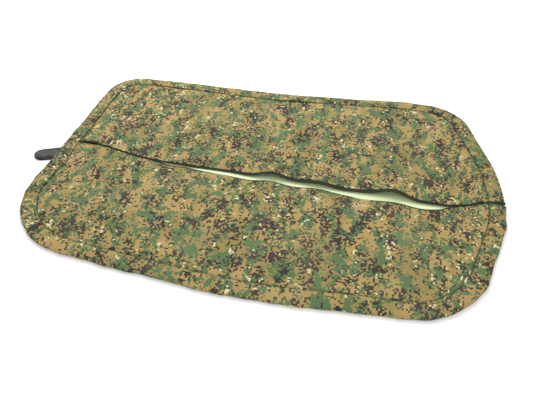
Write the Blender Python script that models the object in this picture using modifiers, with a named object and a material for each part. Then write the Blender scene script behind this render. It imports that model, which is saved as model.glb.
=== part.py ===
"""Bivy sack laid flat, with a lengthwise zipped opening and a webbing hang loop.

Metres, +Z up. The origin is the middle of the footprint on the ground.
+X runs from the head end, which carries the loop, to the foot end.
+Y is the far side. The sack lies unzipped, with the slider parked at the head.
"""

import bmesh
import bpy
from math import atan2
from math import ceil
from math import cos
from math import pi
from math import radians
from math import sin
from math import tan

from mathutils import Matrix
from mathutils import Vector

# Driving dimensions of the sack
SACK_LENGTH = 2.130
LOOP_REACH = 0.110
HEAD_X = LOOP_REACH - (SACK_LENGTH + LOOP_REACH) / 2
FOOT_X = HEAD_X + SACK_LENGTH
HALF_WIDTH = 0.7615
BORDER_WIDTH = 0.073
FACE_GAP = 0.0003

# Cloth and tape, each with its thickness and the height of its underside
CLOTH = 0.0014
LINING = 0.0010
TAPE = 0.0010
COIL_HEIGHT = 0.0026
FLOOR_LINING_Z = CLOTH + FACE_GAP
PANEL_Z = 0.0263
TOP_LINING_Z = PANEL_Z - FACE_GAP - LINING
TAPE_Z = PANEL_Z + CLOTH + FACE_GAP
COIL_Z = TAPE_Z + TAPE + FACE_GAP
FLOOR_INSET = 0.0205

# Slit and zip
SLIT_HEAD_X = HEAD_X + BORDER_WIDTH + FACE_GAP
SLIT_FOOT_X = FOOT_X - BORDER_WIDTH - 0.002
TAPE_HEAD_X = SLIT_HEAD_X + 0.115
COIL_HALF_GAP = 0.0018
COIL_WIDTH = 0.0037
TAPE_INSET = 0.0025
TAPE_OUTSET = 0.0170
PANEL_OUTSET = 0.0090
MOUTH_GAP = 0.075
MOUTH_START_X = -0.500
MOUTH_END_X = 0.900
STOP_LENGTH = 0.0040

# Slider, its crown and its pull
SLIDER_LENGTH = 0.028
SLIDER_X = SLIT_HEAD_X + 0.0110
SLIDER_FRONT = 0.0078
SLIDER_BACK = 0.0068
SLIDER_PLATE = 0.0016
SLIDER_LOW_Z = 0.0256
SLIDER_TOP_Z = 0.0326
POST_HALF = 0.0013
LIP = 0.0006
PIVOT_X = SLIDER_X + SLIDER_LENGTH / 2
PIVOT_Z = SLIDER_TOP_Z + SLIDER_PLATE + 0.0016
CROWN_REACH = 0.0062
CROWN_RISE = 0.0042
CROWN_WIRE = 0.0009
TAB_LENGTH = 0.030
TAB_HALF = 0.0050
TAB_SHEET = 0.0014
PULL_LENGTH = 0.048
PULL_HALF = 0.0080

# Hang loop
LOOP_TILT = radians(22)
LOOP_WIDTH = 0.084
LOOP_PLY = 0.0020
LOOP_LOW_Z = 0.0004
LOOP_TOP_Z = 0.0110
LOOP_ROOT = Vector((HEAD_X - 0.0016, -0.096, 0))
LOOP_TAIL = 0.026

# Foot notch
NOTCH_HALF = 0.0040
HEM_WIDTH = 0.0100
BORDER_JOIN_Y = -0.100
BORDER_JOIN_X = -0.200

# Fold lines that the two halves of the top lift about, just inside the seams
FAR_FOLD = Vector((-0.200, 0.602, TAPE_Z))
NEAR_FOLD = Vector((0.000, -0.645, TAPE_Z))

ARC_STEP = radians(8)

# Corners of the sack's outline, anticlockwise from the near head corner:
# place and the radius that rounds it. The sides bend a little at mid length.
CORNERS = [
    (Vector((HEAD_X, -0.686)), 0.385),
    (Vector((0.075, -HALF_WIDTH - 0.0100)), 3.000),
    (Vector((FOOT_X - 0.160, -0.695)), 0.342),
    (Vector((FOOT_X + 0.0480, 0.000)), 1.000),
    (Vector((FOOT_X - 0.189, 0.742)), 0.255),
    (Vector((0.681, HALF_WIDTH + 0.0040)), 0.760),
    (Vector((0.022, 0.688)), 2.000),
    (Vector((HEAD_X, 0.669)), 0.181),
]

# Section of the border, from its top seam round the edge to its floor seam:
# distance in from the outline, height of the middle of the cloth.
BORDER_SECTION = [
    (BORDER_WIDTH, PANEL_Z + CLOTH / 2),
    (0.0300, PANEL_Z + CLOTH / 2 - 0.0006),
    (0.0110, 0.0236),
    (0.0030, 0.0170),
    (CLOTH / 2, 0.0100),
    (0.0030, 0.0034),
    (0.0090, CLOTH / 2),
    (FLOOR_INSET - FACE_GAP, CLOTH / 2),
]


def clear_scene():
    """Removes every object that a new file brings."""
    for item in list(bpy.data.objects):
        bpy.data.objects.remove(item, do_unlink=True)


def material(name, colour, roughness, metallic=0.0):
    """A Principled material of one plain finish."""
    made = bpy.data.materials.new(name)
    made.use_nodes = True
    shader = made.node_tree.nodes["Principled BSDF"]
    shader.inputs["Base Color"].default_value = (*colour, 1.0)
    shader.inputs["Roughness"].default_value = roughness
    shader.inputs["Metallic"].default_value = metallic
    made.diffuse_color = (*colour, 1.0)
    return made


def collection(name):
    """A new collection in the scene."""
    made = bpy.data.collections.new(name)
    bpy.context.scene.collection.children.link(made)
    return made


clear_scene()
SACK = collection("bivy_sack")
CUTTERS = collection("cutters")

OUTER_CLOTH = ((0.40, 0.34, 0.19), 0.85)
LINING_CLOTH = ((0.62, 0.72, 0.45), 0.60)
OLIVE_TAPE = ((0.035, 0.060, 0.042), 0.70)
OLIVE_NYLON = ((0.030, 0.045, 0.032), 0.40)
WEBBING = ((0.060, 0.080, 0.070), 0.45)
GUNMETAL = ((0.045, 0.050, 0.045), 0.35, 0.9)


def add(name, data, finish, parent=None):
    """Links an object of the data, with its own material, under its parent."""
    item = bpy.data.objects.new(name, data)
    SACK.objects.link(item)
    item.data.materials.append(material(f"{name}_finish", *finish))
    if parent:
        item.parent = parent
        item.matrix_parent_inverse = Matrix.Translation(-parent.location)
    return item


def pivot(name, place, parent=None):
    """An empty on a joint's axis, which the moving pieces are parented to."""
    item = bpy.data.objects.new(name, None)
    item.empty_display_size = 0.02
    SACK.objects.link(item)
    item.location = place
    if parent:
        item.parent = parent
        item.location = Vector(place) - parent.location
    return item


def arc_at(corner, before, after, radius):
    """Points and outward normals along the arc that rounds one corner."""
    into = (corner - before).normalized()
    out = (after - corner).normalized()
    turn = atan2(into.cross(out), into.dot(out))
    side = 1 if turn > 0 else -1
    run = radius * tan(abs(turn) / 2)
    centre = corner - into * run + side * radius * Vector((-into.y, into.x))
    steps = max(2, ceil(abs(turn) / ARC_STEP))
    stations = []
    for step in range(steps + 1):
        angle = turn * step / steps
        along = Vector(
            (
                into.x * cos(angle) - into.y * sin(angle),
                into.x * sin(angle) + into.y * cos(angle),
            )
        )
        normal = Vector((along.y, -along.x))
        stations.append((centre + side * radius * normal, normal))
    return stations


def outline():
    """Stations round the sack, anticlockwise: place and outward normal."""
    stations = []
    for index, (corner, radius) in enumerate(CORNERS):
        before = CORNERS[index - 1][0]
        after = CORNERS[(index + 1) % len(CORNERS)][0]
        stations += arc_at(corner, before, after, radius)
    return stations


def inset(stations, distance):
    """Places of the stations, moved in from the outline."""
    return [place - normal * distance for place, normal in stations]


def cut_at_y(first, second, y):
    """The station between two others where the outline crosses a height in Y."""
    share = (y - first[0].y) / (second[0].y - first[0].y)
    place = first[0].lerp(second[0], share)
    return (place, first[1].lerp(second[1], share).normalized())


def foot_to_head(sign, foot_y, head_y):
    """Stations of one side of the outline, from foot_y round to head_y.

    sign is 1 for the far side and -1 for the near side.
    """
    ring = outline()
    if sign < 0:
        ring = ring[::-1]
    ring = ring + ring
    start = next(
        i
        for i in range(1, len(ring))
        if ring[i][0].x > 0
        and (ring[i - 1][0].y - foot_y) * sign < 0 <= (ring[i][0].y - foot_y) * sign
    )
    end = next(
        i
        for i in range(start, len(ring))
        if ring[i][0].x < 0
        and (ring[i][0].y - head_y) * sign <= 0 < (ring[i - 1][0].y - head_y) * sign
    )
    first = cut_at_y(ring[start - 1], ring[start], foot_y)
    last = cut_at_y(ring[end - 1], ring[end], head_y)
    return [first, *ring[start:end], last]


def mouth(x):
    """How far the near edge of the slit stands back from the far one."""
    share = (x - MOUTH_START_X) / (MOUTH_END_X - MOUTH_START_X)
    if not 0 < share < 1:
        return 0.0
    return MOUTH_GAP * sin(pi * share**1.8) ** 2


def slit_line(sign, offset, start_x, end_x):
    """Points along one edge of the slit, offset from it away from the gap."""
    steps = 28 if sign < 0 else 1
    line = []
    for step in range(steps + 1):
        x = start_x + (end_x - start_x) * step / steps
        open_by = mouth(x) if sign < 0 else 0.0
        line.append(Vector((x, sign * (offset + open_by))))
    return line


def flat_piece(name, outlines, low_z, thickness, finish, parent=None):
    """A flat piece cut to the outlines, the first being its rim."""
    shape = bpy.data.curves.new(name, "CURVE")
    shape.dimensions = "2D"
    shape.fill_mode = "BOTH"
    shape.extrude = thickness / 2
    for points in outlines:
        spline = shape.splines.new("POLY")
        spline.points.add(len(points) - 1)
        for target, point in zip(spline.points, points):
            target.co = (point[0], point[1], 0, 1)
        spline.use_cyclic_u = True
    item = add(name, shape, finish)
    item.location = (0, 0, low_z + thickness / 2)
    if parent:
        item.parent = parent
        item.location = item.location - parent.matrix_world.translation
    return item


def skin(name, sections, thickness, finish, parent=None):
    """A wall of even thickness, lofted through open sections of points."""
    mesh = bpy.data.meshes.new(name)
    shell = bmesh.new()
    rows = [[shell.verts.new(point) for point in section] for section in sections]
    for row, following in zip(rows, rows[1:]):
        for a, b, c, d in zip(row, row[1:], following[1:], following):
            shell.faces.new((a, b, c, d))
    bmesh.ops.recalc_face_normals(shell, faces=shell.faces)
    shell.to_mesh(mesh)
    shell.free()
    item = add(name, mesh, finish, parent)
    wall = item.modifiers.new("thickness", "SOLIDIFY")
    wall.thickness = thickness
    wall.offset = 0
    wall.use_even_offset = True
    return item


def border_piece(name, stations, finish):
    """A strip of the border's section, carried along the stations."""
    sections = []
    for place, normal in stations:
        sections.append(
            [(*(place - normal * into), height) for into, height in BORDER_SECTION]
        )
    return skin(name, sections, CLOTH, finish)


def split_at_x(stations, x):
    """The stations on the foot side of a join across the strip, and the rest."""
    index = next(i for i, station in enumerate(stations) if station[0].x < x)
    before = stations[index - 1]
    after = stations[index]
    ends = []
    for side in (1, -1):
        edge = x + side * FACE_GAP / 2
        share = (edge - before[0].x) / (after[0].x - before[0].x)
        place = before[0].lerp(after[0], share)
        ends.append((place, before[1].lerp(after[1], share).normalized()))
    return [*stations[:index], ends[0]], [ends[1], *stations[index:]]


def short_run(start, end):
    """Two stations along the foot edge between two heights in Y."""
    sign = 1 if start > 0 else -1
    side = foot_to_head(sign, start, 0.3 * sign)
    first = side[0]
    last = cut_at_y(side[0], side[1], end)
    return [first, last]


def make_floor():
    """The ground sheet and its coated lining."""
    ring = outline()
    rim = FLOOR_INSET
    flat_piece("floor_panel", [inset(ring, rim)], 0, CLOTH, OUTER_CLOTH)
    rim = FLOOR_INSET + 0.002
    flat_piece("floor_lining", [inset(ring, rim)], FLOOR_LINING_Z, LINING, LINING_CLOTH)


def make_border():
    """The strips round the edge, and the hems where the foot notch cuts them."""
    hem_y = NOTCH_HALF + HEM_WIDTH
    gap = FACE_GAP
    far = foot_to_head(1, hem_y + gap, BORDER_JOIN_Y + gap / 2)
    near = foot_to_head(-1, -hem_y - gap, BORDER_JOIN_Y - gap / 2)
    far_foot, far_head = split_at_x(far, BORDER_JOIN_X)
    border_piece("far_border_foot", far_foot, OUTER_CLOTH)
    border_piece("far_border_head", far_head, OUTER_CLOTH)
    border_piece("near_border", near, OUTER_CLOTH)
    border_piece("far_notch_hem", short_run(NOTCH_HALF, hem_y), OLIVE_TAPE)
    border_piece("near_notch_hem", short_run(-NOTCH_HALF, -hem_y), OLIVE_TAPE)


def panel_outline(sign, outset, rim):
    """Rim of one top panel: round the outside, then back along the slit."""
    start_y = sign * outset
    side = foot_to_head(sign, start_y - sign * 0.05, start_y)
    points = inset(side, rim)
    begin = next(i for i, point in enumerate(points) if point.y * sign > outset)
    before = points[begin - 1]
    share = (start_y - before.y) / (points[begin].y - before.y)
    points = [before.lerp(points[begin], share), *points[begin:]]
    edge = slit_line(sign, outset, points[-1].x, points[0].x)
    return points + edge[1:-1]


def make_half(side, sign, flap):
    """One half of the top: panel, lining, zip tape, coil and bottom stop."""
    rim = BORDER_WIDTH + FACE_GAP
    outer = panel_outline(sign, PANEL_OUTSET, rim)
    inner = panel_outline(sign, PANEL_OUTSET + 0.001, rim + 0.002)
    flat_piece(f"{side}_top_panel", [outer], PANEL_Z, CLOTH, OUTER_CLOTH, flap)
    flat_piece(f"{side}_top_lining", [inner], TOP_LINING_Z, LINING, LINING_CLOTH, flap)
    start = TAPE_HEAD_X + FACE_GAP
    stop_x = SLIT_FOOT_X - 0.016
    strip(f"{side}_tape", sign, (TAPE_INSET, TAPE_OUTSET), (start, SLIT_FOOT_X - 0.002),
          TAPE_Z, TAPE, OLIVE_TAPE, flap)
    row = (COIL_HALF_GAP, COIL_HALF_GAP + COIL_WIDTH)
    strip(f"{side}_coil", sign, row, (start, stop_x), COIL_Z, COIL_HEIGHT, OLIVE_NYLON, flap)
    stop = (stop_x + FACE_GAP, stop_x + FACE_GAP + STOP_LENGTH)
    strip(f"{side}_bottom_stop", sign, row, stop, COIL_Z, COIL_HEIGHT, GUNMETAL, flap)


def strip_outline(sign, row, span):
    """Rim of a strip that follows one edge of the slit."""
    inner = slit_line(sign, row[0], *span)
    outer = slit_line(sign, row[1], *span)
    return inner + outer[::-1]


def strip(name, sign, row, span, low_z, thickness, finish, parent=None):
    """A strip along one edge of the slit, row and span giving its sides and ends."""
    rim = strip_outline(sign, row, span)
    return flat_piece(name, [rim], low_z, thickness, finish, parent)


def make_zip_head():
    """The closed end of the zip, where the slider parks on it."""
    start = SLIT_HEAD_X + 0.001
    bar = 0.005
    rim = [
        (start, -TAPE_OUTSET),
        (TAPE_HEAD_X, -TAPE_OUTSET),
        (TAPE_HEAD_X, -TAPE_INSET),
        (start + bar, -TAPE_INSET),
        (start + bar, TAPE_INSET),
        (TAPE_HEAD_X, TAPE_INSET),
        (TAPE_HEAD_X, TAPE_OUTSET),
        (start, TAPE_OUTSET),
    ]
    flat_piece("head_tape_end", [rim], TAPE_Z, TAPE, OLIVE_TAPE)
    row = (COIL_HALF_GAP, COIL_HALF_GAP + COIL_WIDTH)
    stop_start = start + 0.002
    stop_end = stop_start + STOP_LENGTH
    rim = [
        (stop_start, -row[1]),
        (stop_end, -row[1]),
        (stop_end, row[1]),
        (stop_start, row[1]),
    ]
    flat_piece("head_stop", [rim], COIL_Z, COIL_HEIGHT, GUNMETAL)
    coil = (stop_end + FACE_GAP, TAPE_HEAD_X)
    for side, sign in (("far", 1), ("near", -1)):
        strip(f"{side}_coil_end", sign, row, coil, COIL_Z, COIL_HEIGHT, OLIVE_NYLON)


def plate_outline(front, back):
    """Plan of a slider plate, wide at the mouth and rounded at both ends."""
    points = []
    nose = 0.005
    for share in range(7):
        angle = pi / 2 - pi * share / 6
        x = SLIDER_X + SLIDER_LENGTH - nose + nose * cos(angle)
        points.append((x, front * sin(angle)))
    for share in range(7):
        angle = -pi / 2 - pi * share / 6
        points.append((SLIDER_X + nose + nose * cos(angle), back * sin(angle)))
    return points


def as_mesh(item):
    """Turns a curve object into a welded mesh object of the same name."""
    name = item.name
    bpy.context.view_layer.update()
    graph = bpy.context.evaluated_depsgraph_get()
    mesh = bpy.data.meshes.new_from_object(item.evaluated_get(graph))
    shell = bmesh.new()
    shell.from_mesh(mesh)
    bmesh.ops.remove_doubles(shell, verts=shell.verts, dist=0.00001)
    bmesh.ops.recalc_face_normals(shell, faces=shell.faces)
    shell.to_mesh(mesh)
    shell.free()
    place = item.matrix_world.copy()
    mesh.transform(place)
    home = item.users_collection[0]
    old = item.data
    bpy.data.objects.remove(item)
    bpy.data.curves.remove(old)
    made = bpy.data.objects.new(name, mesh)
    home.objects.link(made)
    return made


def hide_tool(item):
    """Marks a shape that only cuts or joins others."""
    for home in list(item.users_collection):
        home.objects.unlink(item)
    CUTTERS.objects.link(item)
    item.hide_render = True
    item.display_type = "WIRE"


def union(target, tool):
    """Joins a hidden shape into the target."""
    hide_tool(tool)
    join = target.modifiers.new(f"with_{tool.name}", "BOOLEAN")
    join.operation = "UNION"
    join.solver = "EXACT"
    join.object = tool


def box(name, low, high, finish):
    """A box between two corners."""
    mesh = bpy.data.meshes.new(name)
    block = bmesh.new()
    low = Vector(low)
    high = Vector(high)
    size = Matrix.Diagonal((*(high - low), 1))
    place = Matrix.Translation((low + high) / 2)
    bmesh.ops.create_cube(block, size=1, matrix=place @ size)
    block.to_mesh(mesh)
    block.free()
    return add(name, mesh, finish)


def crown():
    """The arch over the slider's top plate that holds the pull."""
    arch = bpy.data.curves.new("crown", "CURVE")
    arch.dimensions = "3D"
    arch.bevel_depth = CROWN_WIRE
    arch.bevel_resolution = 2
    arch.use_fill_caps = True
    spline = arch.splines.new("POLY")
    steps = 10
    spline.points.add(steps)
    base = SLIDER_TOP_Z + SLIDER_PLATE / 2
    for step in range(steps + 1):
        angle = pi * step / steps
        x = PIVOT_X + CROWN_REACH * cos(angle)
        z = base + (CROWN_RISE + SLIDER_PLATE / 2) * min(1, 1.25 * sin(angle))
        spline.points[step].co = (x, 0, z, 1)
    item = bpy.data.objects.new("crown", arch)
    SACK.objects.link(item)
    return as_mesh(item)


def make_slider(carriage):
    """The slider: two plates round the coils, a post between and a crown."""
    outline_points = plate_outline(SLIDER_FRONT, SLIDER_BACK)
    body = as_mesh(flat_piece("slider_body", [outline_points], SLIDER_TOP_Z,
                              SLIDER_PLATE, GUNMETAL))
    low = as_mesh(flat_piece("low_plate", [outline_points], SLIDER_LOW_Z,
                             SLIDER_PLATE, GUNMETAL))
    deep = SLIDER_PLATE / 2
    post = box("post",
               (SLIDER_X + 0.016, -POST_HALF, SLIDER_LOW_Z + deep),
               (SLIDER_X + SLIDER_LENGTH - 0.002, POST_HALF, SLIDER_TOP_Z + deep),
               GUNMETAL)
    union(body, low)
    union(body, post)
    for sign in (1, -1):
        edge = SLIDER_BACK * sign
        lip_rows = [
            (SLIDER_TOP_Z - LIP, SLIDER_TOP_Z + deep),
            (SLIDER_LOW_Z + deep, SLIDER_LOW_Z + SLIDER_PLATE + LIP),
        ]
        for level, (bottom, top) in enumerate(lip_rows):
            sides = sorted((edge - sign * 0.0009, edge - sign * 0.0001))
            lip = box(f"lip_{level}_{sign}",
                      (SLIDER_X + 0.006, sides[0], bottom),
                      (SLIDER_X + SLIDER_LENGTH - 0.006, sides[1], top),
                      GUNMETAL)
            union(body, lip)
    union(body, crown())
    body.parent = carriage
    body.matrix_parent_inverse = Matrix.Translation(-carriage.location)


def make_pull(hinge):
    """The metal tab hung in the crown and the tape sewn through its end."""
    bar = 0.0010
    eye_half = 0.0024
    eye_end = 0.0090
    neck = 0.0036
    rim = [
        (PIVOT_X - bar, -neck),
        (PIVOT_X + eye_end, -neck),
        (PIVOT_X + eye_end + 0.003, -TAB_HALF),
        (PIVOT_X + TAB_LENGTH - 0.002, -TAB_HALF),
        (PIVOT_X + TAB_LENGTH, -TAB_HALF + 0.002),
        (PIVOT_X + TAB_LENGTH, TAB_HALF - 0.002),
        (PIVOT_X + TAB_LENGTH - 0.002, TAB_HALF),
        (PIVOT_X + eye_end + 0.003, TAB_HALF),
        (PIVOT_X + eye_end, neck),
        (PIVOT_X - bar, neck),
    ]
    eye = [
        (PIVOT_X + bar, -eye_half),
        (PIVOT_X + bar, eye_half),
        (PIVOT_X + eye_end, eye_half),
        (PIVOT_X + eye_end, -eye_half),
    ]
    flat_piece("pull_tab", [rim, eye], PIVOT_Z - TAB_SHEET / 2, TAB_SHEET, GUNMETAL, hinge)
    start = PIVOT_X + TAB_LENGTH + FACE_GAP
    end = start + PULL_LENGTH
    soft = 0.003
    tape = [
        (start, -PULL_HALF),
        (end - soft, -PULL_HALF),
        (end, -PULL_HALF + soft),
        (end, PULL_HALF - soft),
        (end - soft, PULL_HALF),
        (start, PULL_HALF),
    ]
    flat_piece("pull_tape", [tape], PIVOT_Z - 0.0010, 0.0020, OLIVE_TAPE, hinge)


def loop_frame():
    """Directions along and across the loop's strap, level with the ground."""
    along = Vector((-cos(LOOP_TILT), -sin(LOOP_TILT), 0))
    across = Vector((sin(LOOP_TILT), -cos(LOOP_TILT), 0))
    return along, across


def make_loop(hinge):
    """The folded webbing loop at the head, and its sewn-in tail."""
    along, across = loop_frame()
    low = LOOP_LOW_Z + LOOP_PLY / 2
    top = LOOP_TOP_Z - LOOP_PLY / 2
    bend = (top - low) / 2
    reach = (LOOP_REACH - 0.0016) / cos(LOOP_TILT) - LOOP_WIDTH / 2 * tan(LOOP_TILT)
    fold = reach - bend - LOOP_PLY / 2
    path = [(0.0, low), (fold * 0.5, low)]
    for step in range(9):
        angle = -pi / 2 + pi * step / 8
        path.append((fold + bend * cos(angle), (low + top) / 2 + bend * sin(angle)))
    path += [(fold * 0.5, top), (0.0, top)]
    sections = []
    for run, height in path:
        section = []
        for side in (-1, 1):
            skew = side * LOOP_WIDTH / 2 * tan(LOOP_TILT)
            lead = skew * (1 - min(1.0, run / 0.02))
            point = LOOP_ROOT + along * (run + lead) + across * (side * LOOP_WIDTH / 2)
            section.append((point.x, point.y, height))
        sections.append(section)
    skin("hang_loop", sections, LOOP_PLY, WEBBING, hinge)
    tail_x = HEAD_X + FLOOR_INSET + 0.004
    half = LOOP_WIDTH / 2 / cos(LOOP_TILT)
    y = LOOP_ROOT.y
    tail = [
        (tail_x, y - half),
        (tail_x + LOOP_TAIL, y - half),
        (tail_x + LOOP_TAIL, y + half),
        (tail_x, y + half),
    ]
    level = FLOOR_LINING_Z + LINING + FACE_GAP
    flat_piece("hang_loop_tail", [tail], level, LOOP_PLY, WEBBING)


def main():
    """Builds the sack, the root first and then each moving body."""
    make_floor()
    make_border()
    make_zip_head()
    far_flap = pivot("far_flap_axis", FAR_FOLD)
    near_flap = pivot("near_flap_axis", NEAR_FOLD)
    carriage = pivot("slider_path", (PIVOT_X, 0, SLIDER_TOP_Z))
    pull = pivot("pull_axis", (PIVOT_X, 0, PIVOT_Z), carriage)
    loop = pivot("loop_axis", (HEAD_X - 0.0012, 0, LOOP_TOP_Z))
    bpy.context.view_layer.update()
    make_half("far", 1, far_flap)
    make_half("near", -1, near_flap)
    make_slider(carriage)
    make_pull(pull)
    make_loop(loop)
    bpy.context.view_layer.update()


main()
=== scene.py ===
"""Looks of the bivy sack: printed cloth, pale lining, zip, hang loop and studio.

Metres, +Z up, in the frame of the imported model: +X runs from the head end to the
foot end and +Y is the far side. Ends, heights and fittings are read from the
frame's boxes; the bends of the outline and of the slit are set here.
"""

import logging
import math
from dataclasses import dataclass
from dataclasses import field
from enum import Enum

import bpy
import numpy as np
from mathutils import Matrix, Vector


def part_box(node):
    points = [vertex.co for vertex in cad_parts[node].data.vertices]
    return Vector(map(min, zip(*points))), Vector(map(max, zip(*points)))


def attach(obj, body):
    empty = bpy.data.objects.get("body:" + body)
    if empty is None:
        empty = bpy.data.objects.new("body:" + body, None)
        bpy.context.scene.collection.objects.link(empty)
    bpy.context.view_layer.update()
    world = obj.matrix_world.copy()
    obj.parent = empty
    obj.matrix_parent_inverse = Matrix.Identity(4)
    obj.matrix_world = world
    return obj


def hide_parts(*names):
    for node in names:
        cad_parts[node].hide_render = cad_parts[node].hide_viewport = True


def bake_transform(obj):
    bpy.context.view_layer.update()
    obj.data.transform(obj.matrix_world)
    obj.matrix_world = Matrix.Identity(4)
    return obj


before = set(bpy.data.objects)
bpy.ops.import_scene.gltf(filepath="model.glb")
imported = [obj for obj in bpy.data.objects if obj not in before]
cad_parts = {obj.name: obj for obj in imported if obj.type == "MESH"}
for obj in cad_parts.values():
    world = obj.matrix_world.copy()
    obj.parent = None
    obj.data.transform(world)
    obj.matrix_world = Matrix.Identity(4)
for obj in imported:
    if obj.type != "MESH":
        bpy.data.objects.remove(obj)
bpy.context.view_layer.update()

LOG = logging.getLogger("bivy_sack")
CLOTH_UV = "cloth_metres"
EXPOSURE = 1.32
STEP = 0.008
PATH_STEP = 0.006
SEAM = 0.073
UNDERLAP = 0.009
HALVES_MEET_X = 0.10
HEAD_JOIN_Y = -0.100
FAR_FOLD = (0.614, 0.060)
NEAR_FOLD = (-0.645, 0.0)
FAR_PRINT_OFFSET = (11.3, 0.7)
NEAR_PRINT_OFFSET = (3.1, 6.9)
FLOOR_PRINT_OFFSET = (2.7, 4.1)
NO_OFFSET = (0.0, 0.0)


def srgb(red: int, green: int, blue: int) -> tuple[float, float, float, float]:
    """A surface colour, from how it looks under the studio light, each part 0 to 255."""
    parts = []
    for part in (red, green, blue):
        share = part / 255
        linear = share / 12.92 if share <= 0.04045 else ((share + 0.055) / 1.055) ** 2.4
        parts.append(linear / EXPOSURE)
    return (*parts, 1.0)


def smooth_through(at: np.ndarray, stations: list[float], values: list[float]) -> np.ndarray:
    """Reads a smooth curve that passes through the values at the stations.

    Args:
        at: where to read it.
        stations: ascending places of the values.
        values: what the curve passes through.

    Returns:
        The curve's value at each place, held level past both ends. It never
        passes beyond the values on either side of it.
    """
    knots = np.asarray(stations, float)
    heights = np.asarray(values, float)
    rises = np.diff(heights) / np.diff(knots)
    before = rises[:-1]
    after = rises[1:]
    same_way = before * after > 0
    total = np.where(same_way, before + after, 1.0)
    slopes = np.zeros_like(heights)
    slopes[1:-1] = np.where(same_way, 2 * before * after / total, 0.0)
    place = np.clip(np.asarray(at, float), knots[0], knots[-1])
    index = np.clip(np.searchsorted(knots, place) - 1, 0, len(knots) - 2)
    span = knots[index + 1] - knots[index]
    t = (place - knots[index]) / span
    start = (1 + 2 * t) * (1 - t) ** 2 * heights[index] + t * (1 - t) ** 2 * span * slopes[index]
    end = t**2 * (3 - 2 * t) * heights[index + 1] + t**2 * (t - 1) * span * slopes[index + 1]
    return start + end


def smoothstep(at: np.ndarray, low: float, high: float) -> np.ndarray:
    """Rises smoothly from 0 at low to 1 at high."""
    t = np.clip((at - low) / (high - low), 0, 1)
    return t * t * (3 - 2 * t)


@dataclass(frozen=True)
class Ripple:
    """Soft unevenness of cloth, as a sum of plane waves of about one length."""

    length: float
    depth: float
    seed: int
    stretch: float = 1.0
    waves: int = 16

    def at(self, x: np.ndarray, y: np.ndarray) -> np.ndarray:
        """How far the cloth stands above its mean at each place."""
        draw = np.random.default_rng(self.seed)
        total = np.zeros(np.broadcast(x, y).shape)
        for _ in range(self.waves):
            heading = draw.uniform(0, 2 * math.pi)
            number = 2 * math.pi / (self.length * draw.uniform(0.7, 1.6))
            phase = draw.uniform(0, 2 * math.pi)
            along = x * math.cos(heading) / self.stretch + y * math.sin(heading)
            total += np.cos(number * along + phase)
        return self.depth * total * math.sqrt(2 / self.waves)


# ---------------------------------------------------------------- shape of the sack


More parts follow.
